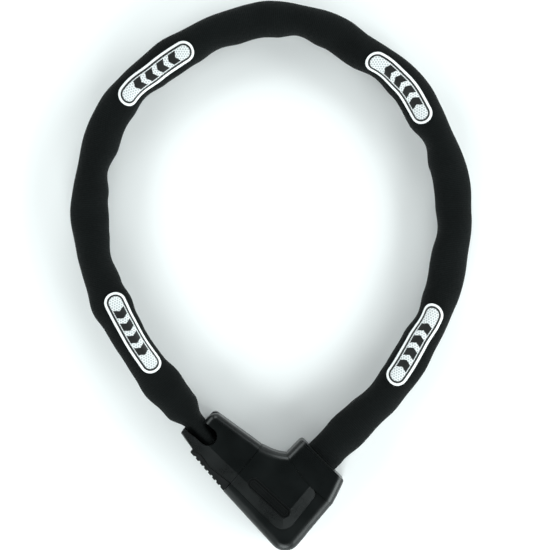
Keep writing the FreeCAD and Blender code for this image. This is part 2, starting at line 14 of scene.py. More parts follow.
import bmesh
import bpy
from mathutils import Matrix, Vector, noise
from mathutils.bvhtree import BVHTree
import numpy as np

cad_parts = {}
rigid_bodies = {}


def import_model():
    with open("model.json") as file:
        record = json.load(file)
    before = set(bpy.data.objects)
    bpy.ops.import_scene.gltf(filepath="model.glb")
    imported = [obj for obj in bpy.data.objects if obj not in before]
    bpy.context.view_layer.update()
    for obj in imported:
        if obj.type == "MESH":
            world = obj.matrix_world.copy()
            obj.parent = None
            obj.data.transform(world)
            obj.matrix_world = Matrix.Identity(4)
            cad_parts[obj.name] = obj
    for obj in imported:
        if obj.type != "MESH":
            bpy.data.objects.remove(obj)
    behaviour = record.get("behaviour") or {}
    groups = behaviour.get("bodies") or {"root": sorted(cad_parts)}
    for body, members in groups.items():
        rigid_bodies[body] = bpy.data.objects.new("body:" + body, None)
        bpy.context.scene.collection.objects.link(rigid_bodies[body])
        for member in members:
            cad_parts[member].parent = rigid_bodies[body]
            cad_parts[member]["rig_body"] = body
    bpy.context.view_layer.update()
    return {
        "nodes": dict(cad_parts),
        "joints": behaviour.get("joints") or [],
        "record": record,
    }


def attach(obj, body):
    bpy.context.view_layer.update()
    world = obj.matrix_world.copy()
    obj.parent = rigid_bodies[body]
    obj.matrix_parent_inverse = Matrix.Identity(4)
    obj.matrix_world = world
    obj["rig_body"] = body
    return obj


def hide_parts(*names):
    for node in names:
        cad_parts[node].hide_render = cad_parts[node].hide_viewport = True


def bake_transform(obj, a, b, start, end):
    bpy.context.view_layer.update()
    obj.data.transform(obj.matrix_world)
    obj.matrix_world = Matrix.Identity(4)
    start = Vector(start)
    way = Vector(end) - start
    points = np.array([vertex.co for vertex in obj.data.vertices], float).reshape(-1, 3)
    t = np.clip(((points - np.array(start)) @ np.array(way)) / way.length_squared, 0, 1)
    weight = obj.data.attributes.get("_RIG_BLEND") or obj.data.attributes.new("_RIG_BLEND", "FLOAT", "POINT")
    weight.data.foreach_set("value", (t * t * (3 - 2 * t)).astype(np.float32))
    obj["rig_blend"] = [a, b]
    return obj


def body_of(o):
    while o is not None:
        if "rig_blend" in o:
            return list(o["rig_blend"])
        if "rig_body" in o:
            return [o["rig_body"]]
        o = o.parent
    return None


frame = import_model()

MM = 0.001
PAIRS = 12
LOG = logging.getLogger("lock")


class Slot(Enum):
    """The finishes that the record names."""

    BODY = "body_plastic"
    BUMPER = "bumper_plastic"
    TRIM = "trim_plastic"
    GRIP = "grip_rubber"
    STEEL = "hard_steel"
    BRASS = "cylinder_brass"
    CHAIN = "chain_steel"
    SLEEVE = "sleeve_textile"
    LABEL = "label_print"


# ------------------------------------------------------------------ finishes
class Graph:
    """A small helper that adds and joins the nodes of one material."""

    def __init__(self, name: str) -> None:
        """Start an empty material with its shader and output.

        Args:
            name: Name of the material.
        """
        self.material = bpy.data.materials.new(name)
        self.material.use_nodes = True
        self.tree = self.material.node_tree
        self.tree.nodes.clear()
        output = self.tree.nodes.new("ShaderNodeOutputMaterial")
        self.shader = self.tree.nodes.new("ShaderNodeBsdfPrincipled")
        self.link(self.shader.outputs["BSDF"], output.inputs["Surface"])

    def link(self, source: bpy.types.NodeSocket, target: bpy.types.NodeSocket) -> None:
        """Join two sockets."""
        self.tree.links.new(source, target)

    def put(self, target: bpy.types.NodeSocket, value: object) -> None:
        """Give a socket a number, or join it to another socket.

        Args:
            target: The socket that receives.
            value: A number, a colour or a socket.
        """
        if isinstance(value, bpy.types.NodeSocket):
            self.link(value, target)
        else:
            target.default_value = value

    def math(self, operation: str, a: object, b: object = 0.0, clamp: bool = False) -> bpy.types.NodeSocket:
        """Add a math node.

        Args:
            operation: The node's operation.
            a: First value or socket.
            b: Second value or socket.
            clamp: Whether to keep the result between 0 and 1.

        Returns:
            The node's result.
        """
        node = self.tree.nodes.new("ShaderNodeMath")
        node.operation = operation
        node.use_clamp = clamp
        self.put(node.inputs[0], a)
        self.put(node.inputs[1], b)
        return node.outputs[0]

    def noise(self, where: bpy.types.NodeSocket, scale: float, detail: float = 2.0) -> bpy.types.NodeSocket:
        """Add a noise texture.

        Args:
            where: Coordinates to read it at.
            scale: Fineness of the noise.
            detail: Number of finer layers.

        Returns:
            The noise's height.
        """
        node = self.tree.nodes.new("ShaderNodeTexNoise")
        self.put(node.inputs["Vector"], where)
        node.inputs["Scale"].default_value = scale
        node.inputs["Detail"].default_value = detail
        return node.outputs["Fac"]

    def object_place(self) -> bpy.types.NodeSocket:
        """Return the piece's own coordinates, in metres."""
        return self.tree.nodes.new("ShaderNodeTexCoord").outputs["Object"]

    def surface_place(self, layer: str) -> tuple[bpy.types.NodeSocket, bpy.types.NodeSocket]:
        """Read a named UV map, which is in millimetres.

        Args:
            layer: Name of the UV map.

        Returns:
            Its two coordinates.
        """
        uv = self.tree.nodes.new("ShaderNodeUVMap")
        uv.uv_map = layer
        parts = self.tree.nodes.new("ShaderNodeSeparateXYZ")
        self.link(uv.outputs["UV"], parts.inputs[0])
        return parts.outputs[0], parts.outputs[1]

    def blend(self, share: object, low: tuple, high: tuple) -> bpy.types.NodeSocket:
        """Mix two colours or sockets.

        Args:
            share: How much of the second, from 0 to 1.
            low: The first colour or socket.
            high: The second colour or socket.

        Returns:
            The mixed colour.
        """
        node = self.tree.nodes.new("ShaderNodeMix")
        node.data_type = "RGBA"
        self.put(node.inputs[0], share)
        self.put(node.inputs[6], low if isinstance(low, bpy.types.NodeSocket) else (*low, 1.0))
        self.put(node.inputs[7], high if isinstance(high, bpy.types.NodeSocket) else (*high, 1.0))
        return node.outputs[2]

    def span(self, value: object, low: float, high: float, out_low: float,
             out_high: float) -> bpy.types.NodeSocket:
        """Map a range of values onto another, with its ends held.

        Args:
            value: The value or socket to map.
            low: Where the range begins.
            high: Where it ends.
            out_low: What the beginning becomes.
            out_high: What the end becomes.

        Returns:
            The mapped value.
        """
        node = self.tree.nodes.new("ShaderNodeMapRange")
        self.put(node.inputs[0], value)
        for index, number in enumerate((low, high, out_low, out_high), start=1):
            node.inputs[index].default_value = number
        return node.outputs[0]

    def bump(self, height: bpy.types.NodeSocket, depth: float, strength: float = 1.0) -> None:
        """Raise the surface by a height.

        Args:
            height: The height, from 0 to 1.
            depth: How many metres a height of 1 stands for.
            strength: Share of the effect.
        """
        node = self.tree.nodes.new("ShaderNodeBump")
        node.inputs["Strength"].default_value = strength
        node.inputs["Distance"].default_value = depth
        self.link(height, node.inputs["Height"])
        self.link(node.outputs["Normal"], self.shader.inputs["Normal"])


@dataclass(frozen=True)
class MouldedPlastic:
    """Near-black moulded plastic with a fine spark-eroded grain."""

    name: str
    dark: tuple = (0.0020, 0.0029, 0.0029)
    light: tuple = (0.0031, 0.0043, 0.0043)
    roughness: float = 0.30
    grain: float = 0.00002
    cloud_scale: float = 55.0
    grain_scale: float = 2600.0
    specular: float = 0.3

    def make(self) -> bpy.types.Material:
        """Build the material.

        Returns:
            The finished material.
        """
        graph = Graph(self.name)
        place = graph.object_place()
        cloud = graph.noise(place, self.cloud_scale, 3.0)
        fine = graph.noise(place, self.grain_scale, 2.0)
        graph.link(graph.blend(graph.span(cloud, 0.35, 0.65, 0.0, 1.0), self.dark, self.light),
                   graph.shader.inputs["Base Color"])
        rough = graph.math("ADD", graph.span(cloud, 0.3, 0.7, self.roughness - 0.03, self.roughness + 0.05),
                           graph.span(fine, 0.3, 0.7, -0.03, 0.03))
        graph.link(rough, graph.shader.inputs["Roughness"])
        graph.bump(fine, self.grain, 0.6)
        graph.shader.inputs["Specular IOR Level"].default_value = self.specular
        return graph.material


@dataclass(frozen=True)
class Rubber:
    """Matte black rubber with a slightly dusty surface."""

    name: str
    dark: tuple = (0.0032, 0.0038, 0.0038)
    light: tuple = (0.0075, 0.0083, 0.0083)
    cloud_scale: float = 160.0
    grain_scale: float = 1500.0
    grain: float = 0.00004
    specular: float = 0.2

    def make(self) -> bpy.types.Material:
        """Build the material.

        Returns:
            The finished material.
        """
        graph = Graph(self.name)
        place = graph.object_place()
        cloud = graph.noise(place, self.cloud_scale, 4.0)
        graph.link(graph.blend(graph.span(cloud, 0.35, 0.7, 0.0, 1.0), self.dark, self.light),
                   graph.shader.inputs["Base Color"])
        graph.link(graph.span(cloud, 0.3, 0.7, 0.52, 0.66), graph.shader.inputs["Roughness"])
        graph.bump(graph.noise(place, self.grain_scale, 3.0), self.grain, 0.6)
        graph.shader.inputs["Specular IOR Level"].default_value = self.specular
        return graph.material


@dataclass(frozen=True)
class Metal:
    """Machined metal with fine tool marks and small stains."""

    name: str
    dark: tuple
    light: tuple
    roughness: float
    stretch: tuple = (1.0, 1.0, 14.0)
    mark_scale: float = 420.0
    mark_depth: float = 0.00002
    stain_scale: float = 90.0

    def make(self) -> bpy.types.Material:
        """Build the material.

        Returns:
            The finished material.
        """
        graph = Graph(self.name)
        place = graph.object_place()
        stretch = graph.tree.nodes.new("ShaderNodeMapping")
        stretch.inputs["Scale"].default_value = self.stretch
        graph.link(place, stretch.inputs["Vector"])
        marks = graph.noise(stretch.outputs["Vector"], self.mark_scale, 4.0)
        stain = graph.noise(place, self.stain_scale, 4.0)
        graph.link(graph.blend(stain, self.dark, self.light), graph.shader.inputs["Base Color"])
        graph.link(graph.span(marks, 0.3, 0.7, self.roughness - 0.07, self.roughness + 0.09),
                   graph.shader.inputs["Roughness"])
        graph.bump(marks, self.mark_depth, 0.5)
        graph.shader.inputs["Metallic"].default_value = 1.0
        return graph.material


@dataclass(frozen=True)
class RibbedTextile:
    """Black woven tube with cross ribs, read along and round the sleeve, with painted shade in the rib valleys
    and painted highlight on the rib crests.
    """

    name: str
    rib: float
    yarn: float = 0.62
    # dark is the painted shade colour of the rib valleys and yarn hollows; light is the painted highlight colour
    # of their crests
    dark: tuple = (0.0003, 0.0006, 0.0006)
    light: tuple = (0.0046, 0.0064, 0.0064)
    relief: float = 0.00016
    fuzz_scale: float = 900.0
    wear_scale: float = 38.0
    sheen: float = 0.006
    specular: float = 0.08

    def make(self) -> bpy.types.Material:
        """Build the material.

        Returns:
            The finished material.
        """
        graph = Graph(self.name)
        along, across = graph.surface_place("weave")
        turn = 2.0 * math.pi
        rib = graph.math("COSINE", graph.math("MULTIPLY", along, turn / self.rib))
        lean = graph.math("MULTIPLY_ADD", graph.math("MULTIPLY", along, turn / self.rib), 0.5)
        yarn_phase = graph.math("ADD", graph.math("MULTIPLY", across, turn / self.yarn), lean)
        yarn = graph.math("COSINE", yarn_phase)
        height = graph.math("ADD", graph.span(rib, -1.0, 1.0, 0.0, 0.6),
                            graph.span(yarn, -1.0, 1.0, 0.0, 0.4))
        place = graph.object_place()
        fuzz = graph.noise(place, self.fuzz_scale, 4.0)
        worn = graph.noise(place, self.wear_scale, 3.0)
        # Painted shade and highlight: the colour follows the rib and yarn relief, darker in the valleys and
        # lighter on the crests, scaled by random wear
        painted_rib_shade_and_wear = graph.math("MULTIPLY", height, graph.span(worn, 0.3, 0.7, 0.75, 1.15), True)
        graph.link(graph.blend(painted_rib_shade_and_wear, self.dark, self.light),
                   graph.shader.inputs["Base Color"])
        graph.link(graph.span(fuzz, 0.3, 0.7, 0.62, 0.82), graph.shader.inputs["Roughness"])
        graph.bump(graph.math("ADD", height, graph.math("MULTIPLY", fuzz, 0.35)), self.relief, 0.8)
        graph.shader.inputs["Sheen Weight"].default_value = self.sheen
        graph.shader.inputs["Sheen Roughness"].default_value = 0.35
        graph.shader.inputs["Sheen Tint"].default_value = (0.80, 0.88, 0.88, 1.0)
        graph.shader.inputs["Specular IOR Level"].default_value = self.specular
        return graph.material


@dataclass(frozen=True)
class PrintedLabel:
    """White reflective print: a dark inset line, a honeycomb field and a row of chevrons."""

    name: str
    length: float
    width: float
    border: float = 1.6
    line: float = 1.3
    cell: float = 1.5
    chevrons: int = 4
    chevron_step: float = 9.4
    chevron_width: float = 5.6
    chevron_height: float = 7.4
    chevron_slant: float = -0.55
    row_shift: float = 1.1
    paper: tuple = (0.80, 0.81, 0.81)
    tint: tuple = (0.42, 0.44, 0.45)
    ink: tuple = (0.004, 0.0045, 0.0045)

    def make(self) -> bpy.types.Material:
        """Build the material.

        Returns:
            The finished material.
        """
        graph = Graph(self.name)
        x, y = graph.surface_place("print")
        flat = self.length / 2 - self.width / 2
        outside = graph.math("MAXIMUM", graph.math("SUBTRACT", graph.math("ABSOLUTE", x), flat), 0.0)
        radial = graph.math("SQRT", graph.math("ADD", graph.math("POWER", outside, 2.0),
                                               graph.math("POWER", graph.math("ABSOLUTE", y), 2.0)))
        depth = graph.math("SUBTRACT", self.width / 2, radial)
        on_line = graph.math("COMPARE", depth, self.border + self.line / 2)
        on_line.node.inputs[2].default_value = self.line / 2
        inside = graph.math("GREATER_THAN", depth, self.border + self.line)
        waves = [graph.math("COSINE", graph.math("MULTIPLY", x, 2 * math.pi / self.cell))]
        for slope in (0.866, -0.866):
            slant = graph.math("ADD", graph.math("MULTIPLY", x, 0.5), graph.math("MULTIPLY", y, slope))
            waves.append(graph.math("COSINE", graph.math("MULTIPLY", slant, 2 * math.pi / self.cell)))
        comb = graph.math("ADD", graph.math("ADD", waves[0], waves[1]), waves[2])
        cell = graph.span(comb, -1.2, 0.6, 0.0, 1.0)
        field_colour = graph.blend(graph.math("MULTIPLY", cell, inside), self.paper, self.tint)
        reach = self.chevron_step * self.chevrons / 2
        slid = graph.math("SUBTRACT", graph.math("ADD", x, reach),
                          graph.math("MULTIPLY", graph.math("ABSOLUTE", y), self.chevron_slant))
        cell_place = graph.math("FLOORED_MODULO", slid, self.chevron_step)
        local = graph.math("ABSOLUTE", graph.math("SUBTRACT", cell_place, self.chevron_step / 2))
        bars = graph.math("MULTIPLY", graph.math("LESS_THAN", local, self.chevron_width / 2),
                          graph.math("LESS_THAN", graph.math("ABSOLUTE", y), self.chevron_height / 2))
        near = graph.math("LESS_THAN", graph.math("ABSOLUTE", graph.math("ADD", x, self.row_shift)), reach)
        dark = graph.math("MAXIMUM", on_line, graph.math("MULTIPLY", bars, near), True)
        graph.link(graph.blend(dark, field_colour, self.ink), graph.shader.inputs["Base Color"])
        fuzz = graph.noise(graph.object_place(), 700.0, 3.0)
        graph.link(graph.span(fuzz, 0.3, 0.7, 0.42, 0.58), graph.shader.inputs["Roughness"])
        graph.bump(graph.math("ADD", cell, fuzz), 0.00003, 0.5)
        return graph.material


# ------------------------------------------------------------------ the route of the chain
@dataclass
class ChainRoute:
    """Centre line of the sleeve, through the pivots and the bend inside each pair."""

    flat_headings: tuple = (44, 59, 78, 99, 122, 147, 190, 214, 246, 272, 295, 310)
    flat_step: float = 23.2
    anchor_heading: float = 45.0
    collar_reach: float = 30.0
    tail_heading: float = -49.0
    tail_reach: float = 2.0
    samples: int = 40
    pivots: list = field(default_factory=list)
    points: list = field(default_factory=list)
    lengths: list = field(default_factory=list)
    marks: list = field(default_factory=list)

    def __post_init__(self) -> None:
        """Read the pivots from the frame and measure the smooth line through them."""
        places = {joint["name"]: joint["pos_m"] for joint in frame["joints"] if "pos_m" in joint}
        names = ["chain_open", *(f"chain_bend_{k:02d}" for k in range(1, PAIRS)), "plug_pivot"]
        self.pivots = [Vector((places[name][0], places[name][1], 0.0)) / MM for name in names]
        knots = [self.pivots[0] - self.heading(self.anchor_heading) * self.collar_reach]
        for index, degrees in enumerate(self.flat_headings):
            knots += [self.pivots[index], self.pivots[index] + self.heading(degrees) * self.flat_step]
        knots += [self.pivots[-1], self.pivots[-1] + self.heading(self.tail_heading) * self.tail_reach]
        guarded = [knots[0] * 2 - knots[1], *knots, knots[-1] * 2 - knots[-2]]
        for i in range(1, len(guarded) - 2):
            self.marks.append(len(self.points))
            self.points += [self.between(guarded[i - 1:i + 3], step / self.samples)
                            for step in range(self.samples)]
        self.marks.append(len(self.points))
        self.points.append(knots[-1])
        self.lengths = [0.0]
        for before, after in zip(self.points, self.points[1:]):
            self.lengths.append(self.lengths[-1] + (after - before).length)

    @staticmethod
    def heading(degrees: float) -> Vector:
        """Return the level unit vector at an angle from +X."""
        return Vector((math.cos(math.radians(degrees)), math.sin(math.radians(degrees)), 0.0))

    @staticmethod
    def between(knots: list, share: float) -> Vector:
        """Return a point of the centripetal curve through the middle two of four knots.

        Args:
            knots: Four points in a row.
            share: How far from the second to the third, from 0 to 1.

        Returns:
            The point.
        """
        times = [0.0]
        for a, b in zip(knots, knots[1:]):
            times.append(times[-1] + math.sqrt((b - a).length))
        t = times[1] + (times[2] - times[1]) * share

        def mix(a: Vector, b: Vector, start: float, stop: float) -> Vector:
            """Return the point between two points that belongs to the sought time."""
            return a * ((stop - t) / (stop - start)) + b * ((t - start) / (stop - start))

        first = [mix(knots[i], knots[i + 1], times[i], times[i + 1]) for i in range(3)]
        second = [mix(first[i], first[i + 1], times[i], times[i + 2]) for i in range(2)]
        return mix(second[0], second[1], times[1], times[2])

    def mark(self, index: int) -> float:
        """Return the length along the line at one knot."""
        return self.lengths[self.marks[index]]

    def pair_start(self, pair: int) -> float:
        """Return the length at the pivot where a pair (1 to 12) begins; pair 13 is the plug's pivot."""
        return self.mark(2 * pair - 1)

    def flat_middle(self, pair: int) -> float:
        """Return the length at the middle of a pair's flat link."""
        return (self.mark(2 * pair - 1) + self.mark(2 * pair)) / 2

    def upright_middle(self, pair: int) -> float:
        """Return the length at the middle of a pair's upright link."""
        return (self.mark(2 * pair) + self.mark(2 * pair + 1)) / 2

    def middle(self, pair: int) -> float:
        """Return the length halfway along a pair."""
        return (self.pair_start(pair) + self.pair_start(pair + 1)) / 2

    @property
    def end(self) -> float:
        """Return the whole length."""
        return self.lengths[-1]

    def at(self, length: float) -> tuple[Vector, Vector]:
        """Find a place on the line.

        Args:
            length: Length along the line.

        Returns:
            The point there and the line's direction.
        """
        length = min(max(length, 0.0), self.end)
        low, high = 0, len(self.lengths) - 1
        while high - low > 1:
            half = (low + high) // 2
            low, high = (half, high) if self.lengths[half] <= length else (low, half)
        share = (length - self.lengths[low]) / (self.lengths[high] - self.lengths[low])
        ahead = min(high + 1, len(self.points) - 1)
        behind = max(low - 1, 0)
        first = (self.points[high] - self.points[behind]).normalized()
        second = (self.points[ahead] - self.points[low]).normalized()
        return self.points[low].lerp(self.points[high], share), first.lerp(second, share).normalized()


@dataclass
class SleeveShape:
    """Width, height and surface of the sleeve at any place along the chain."""

    route: ChainRoute
    flat_widths: tuple = (25.8, 24.8, 24.4, 24.6, 24.8, 24.2, 24.2, 26.0, 24.2, 25.8, 27.8, 27.4)
    waist_widths: tuple = (22.8, 21.4, 22.2, 19.8, 21.8, 20.4, 22.4, 22.0, 20.6, 21.8, 23.0, 22.0)
    flat_height: float = 22.5
    waist_height: float = 27.6
    flat_level: float = 14.6
    waist_level: float = 14.0
    collar_width: float = 24.6
    collar_height: float = 24.4
    collar_level: float = 15.0
    tail_width: float = 13.4
    tail_height: float = 25.6
    tail_room: float = 17.0
    tail_taper: float = 13.0
    last_waist: tuple = (23.6, 26.2, 14.4)
    collar_taper: float = 8.0
    run_out: float = 50.0
    shifted_pairs: int = 10
    squareness: float = 2.5
    arc_steps: int = 40
    outward: float = 1.0
    inward: float = 0.3
    link_reach: float = 14.0
    link_end_width: float = 24.2
    link_end_height: float = 26.8
    rib: float = 1.24
    rib_depth: float = 0.12
    dent: float = 0.6
    dent_reach: float = 12.0
    dent_size: float = 17.0
    keys: list = field(default_factory=list)

    def __post_init__(self) -> None:
        """List the section's width, height, level and sideways shift along the sleeve."""
        route = self.route
        collar = route.pair_start(1)
        self.keys = [(-self.run_out, self.collar_width, self.collar_height, self.collar_level, 0.0),
                     (collar - self.collar_taper, self.collar_width, self.collar_height, self.collar_level, 0.0)]
        for pair in range(1, PAIRS + 1):
            middle = route.flat_middle(pair)
            ends = (self.link_end_width, self.link_end_height, self.waist_level, -self.inward)
            self.keys.append((middle - self.link_reach, *ends))
            self.keys.append((middle, self.flat_widths[pair - 1], self.flat_height, self.flat_level,
                              -self.inward))
            self.keys.append((middle + self.link_reach, *ends))
            self.keys.append((route.upright_middle(pair), self.waist_widths[pair - 1], self.waist_height,
                              self.waist_level, self.outward if pair <= self.shifted_pairs else 0.0))
        tail = route.pair_start(PAIRS + 1)
        self.keys[-1] = (tail - self.tail_room - self.tail_taper, *self.last_waist, 0.0)
        self.keys.append((tail - self.tail_room, self.tail_width, self.tail_height, self.collar_level, 0.0))
        self.keys.append((tail + self.run_out, self.tail_width, self.tail_height, self.collar_level, 0.0))

    def section(self, length: float) -> tuple:
        """Read the section at a place, eased between the keys.

        Args:
            length: Place along the chain.

        Returns:
            Width, height, level of the middle and sideways shift.
        """
        for before, after in zip(self.keys, self.keys[1:]):
            if length <= after[0]:
                share = max(0.0, (length - before[0]) / (after[0] - before[0]))
                ease = (1 - math.cos(math.pi * share)) / 2
                return tuple(a + (b - a) * ease for a, b in zip(before[1:], after[1:]))
        return self.keys[-1][1:]

    def surface(self, length: float, angle: float, proud: float = 0.0, ribbed: bool = True) -> Vector:
        """Return a point of the sleeve's surface, in millimetres.

        Args:
            length: Place along the chain.
            angle: Angle round the section, from the outer side over the top.
            proud: How far outside the fabric the point lies.
            ribbed: Whether the ribs and dents count.

        Returns:
            The point in the frame.
        """
        width, height, level, shift = self.section(length)
        centre, along = self.route.at(length)
        outer = Vector((along.y, -along.x, 0.0))
        power = 2.0 / self.squareness
        x = math.copysign(abs(math.cos(angle)) ** power, math.cos(angle))
        z = math.copysign(abs(math.sin(angle)) ** power, math.sin(angle))
        grow = proud
        if ribbed:
            rough = centre + outer * (x * self.dent_reach) + Vector((0.0, 0.0, z * self.dent_reach))
            grow += self.dent * noise.noise(rough / self.dent_size)
            grow -= self.rib_depth * (1 - math.cos(2 * math.pi * length / self.rib)) / 2
        flat = centre + outer * (shift + x * (width / 2 + grow))
        return flat + Vector((0.0, 0.0, level + z * (height / 2 + grow)))

    def top(self, length: float, across: float, proud: float) -> Vector:
        """Walk over the upper surface, away from its middle line.

        Args:
            length: Place along the chain.
            across: How far to walk, positive towards the outer side.
            proud: How far outside the fabric the point lies.

        Returns:
            The point in the frame.
        """
        width, height = self.section(length)[:2]
        power = 2.0 / self.squareness
        last, walked, angle = (0.0, height / 2), 0.0, math.pi / 2
        for step in range(1, self.arc_steps + 1):
            lower = math.pi / 2 * (1 - step / self.arc_steps)
            here = (width / 2 * math.cos(lower) ** power, height / 2 * math.sin(lower) ** power)
            stride = math.hypot(here[0] - last[0], here[1] - last[1])
            if walked + stride >= abs(across):
                angle += (lower - angle) * (abs(across) - walked) / stride
                break
            last, walked, angle = here, walked + stride, lower
        return self.surface(length, angle if across > 0 else math.pi - angle, proud, False)


# ------------------------------------------------------------------ mesh helpers
def new_object(name: str, data: bpy.types.ID) -> bpy.types.Object:
    """Add an object to the scene.

    Args:
        name: Name of the object.
        data: Its mesh, lamp or camera.

    Returns:
        The new object.
    """
    made = bpy.data.objects.new(name, data)
    bpy.context.scene.collection.objects.link(made)
    return made


def verts_of(items: Iterable) -> list:
    """Return the vertices among the items that a bmesh operator has made."""
    return [item for item in items if isinstance(item, bmesh.types.BMVert)]


def finish_mesh(bm: bmesh.types.BMesh, name: str, material: bpy.types.Material,
                sharp: float = 40.0) -> bpy.types.Object:
    """Turn a bmesh into a smooth-shaded object at the origin.

    Args:
        bm: The mesh, in metres.
        name: Name of the object.
        material: Its finish.
        sharp: Edges that bend by more than this many degrees stay sharp.

    Returns:
        The new object.
    """
    limit = math.radians(sharp)
    for face in bm.faces:
        face.smooth = True
    for edge in bm.edges:
        edge.smooth = not (edge.is_manifold and edge.calc_face_angle(0.0) > limit)
    mesh = bpy.data.meshes.new(name)
    bm.to_mesh(mesh)
    bm.free()
    mesh.materials.append(material)
    LOG.info("%s: %d faces", name, len(mesh.polygons))
    return new_object(name, mesh)


@dataclass
class Sleeve:
    """The textile tube, in lengths that each bend across one pivot."""

    shape: SleeveShape
    material: bpy.types.Material
    sides: int = 64
    rings_per_rib: int = 4
    wall: float = 1.0
    lining_step: float = 5.0
    bend_reach: float = 22.0
    collar_reach: float = 10.0
    plug_reach: float = 12.0
    plug_end: float = 4.0
    pivot_level: float = 15.0
    girth: float = 78.0
    sharp: float = 60.0

    def bodies(self, index: int) -> tuple[str, str]:
        """Name the bodies that a length joins.

        Args:
            index: Number of the length.

        Returns:
            The body before and the body after.
        """
        first = "lock_body" if index == 0 else f"chain_{index:02d}"
        second = "plug" if index == PAIRS else f"chain_{index + 1:02d}"
        return first, second

    def limits(self, index: int) -> tuple[float, float]:
        """Find where a length starts and ends along the chain, in whole ribs.

        Args:
            index: Number of the length.

        Returns:
            Its start and its end.
        """
        route, rib = self.shape.route, self.shape.rib
        low = 0.0 if index == 0 else round(route.middle(index) / rib) * rib + rib / 2
        high = route.end if index == PAIRS else round(route.middle(index + 1) / rib) * rib + rib / 2
        return low, high

    def place_ring(self, verts: list, length: float, proud: float, ribbed: bool) -> None:
        """Move a ring of vertices to the section at a place.

        Args:
            verts: The ring.
            length: Place along the chain.
            proud: How far outside the fabric the ring lies.
            ribbed: Whether the ribs and dents count.
        """
        for vert in verts:
            angle = 2 * math.pi * vert[self.slot_layer] / self.sides
            vert.co = self.shape.surface(length, angle, proud, ribbed) * MM
            vert[self.length_layer] = length

    def grow(self, bm: bmesh.types.BMesh, verts: list) -> list:
        """Extrude a ring.

        Args:
            bm: The mesh.
            verts: The ring.

        Returns:
            The new ring, in the same order.
        """
        edges = [bm.edges.get((verts[i], verts[(i + 1) % self.sides])) for i in range(self.sides)]
        made = bmesh.ops.extrude_edge_only(bm, edges=edges)["geom"]
        fresh = {vert[self.slot_layer]: vert for vert in verts_of(made)}
        return [fresh[i] for i in range(self.sides)]

    def build(self, index: int) -> bpy.types.Object:
        """Make one length of sleeve.

        Args:
            index: Number of the length, from 0 at the collar to 12 at the plug.

        Returns:
            The object, not yet joined to its bodies.
        """
        bm = bmesh.new()
        self.slot_layer = bm.verts.layers.int.new("ring_slot")
        self.length_layer = bm.verts.layers.float.new("length")
        low, high = self.limits(index)
        count = max(2, round((high - low) / self.shape.rib * self.rings_per_rib))
        ring = bmesh.ops.create_circle(bm, cap_ends=False, segments=self.sides, radius=1.0)["verts"]
        for number, vert in enumerate(ring):
            vert[self.slot_layer] = number
        self.place_ring(ring, low, 0.0, True)
        first = ring
        for step in range(1, count + 1):
            ring = self.grow(bm, ring)
            self.place_ring(ring, low + (high - low) * step / count, 0.0, True)
        inner = max(2, round((high - low) / self.lining_step))
        for step in range(inner + 1):
            ring = self.grow(bm, ring)
            self.place_ring(ring, high + (low - high) * step / inner, -self.wall, False)
        loops = [bm.edges.get((row[i], row[(i + 1) % self.sides]))
                 for row in (ring, first) for i in range(self.sides)]
        bmesh.ops.bridge_loops(bm, edges=loops)
        bmesh.ops.recalc_face_normals(bm, faces=bm.faces)
        weave = bm.loops.layers.uv.new("weave")
        slot_width = self.girth / self.sides
        for face in bm.faces:
            slots = [loop.vert[self.slot_layer] for loop in face.loops]
            wraps = max(slots) - min(slots) > self.sides // 2
            for loop in face.loops:
                slot_number = loop.vert[self.slot_layer]
                if wraps and slot_number == 0:
                    slot_number = self.sides
                loop[weave].uv = (loop.vert[self.length_layer], slot_number * slot_width)
        return finish_mesh(bm, f"sleeve_length_{index:02d}", self.material, self.sharp)

    def bend_points(self, index: int) -> tuple[Vector, Vector]:
        """Find where the bend across a length's pivot starts and ends.

        Args:
            index: Number of the length.

        Returns:
            The two points, in metres.
        """
        route = self.shape.route
        pivot = route.pair_start(index + 1)
        level = Vector((0.0, 0.0, self.pivot_level))
        reach = self.bend_reach if index < PAIRS else self.plug_reach
        begin = route.at(pivot - reach)[0]
        end = route.at(pivot + reach)[0]
        if index == 0:
            begin = route.at(pivot - self.collar_reach)[0]
        if index == PAIRS:
            end = route.pivots[-1] + route.heading(route.tail_heading) * self.plug_end
        return (begin + level) * MM, (end + level) * MM

    def attach(self, index: int, made: bpy.types.Object) -> None:
        """Join one length to its two bodies and let it stand for the CAD sleeve there.

        Args:
            index: Number of the length.
            made: Its object.
        """
        first, second = self.bodies(index)
        start, end = self.bend_points(index)
        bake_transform(made, first, second, start=start, end=end)
        before = "sleeve_collar_end" if index == 0 else f"sleeve_{index:02d}"
        nodes = [before] if index == PAIRS else [before, f"sleeve_{index + 1:02d}"]
        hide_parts(*nodes)

    def make(self) -> None:
        """Build and attach all thirteen lengths."""
        for index in range(PAIRS + 1):
            self.attach(index, self.build(index))


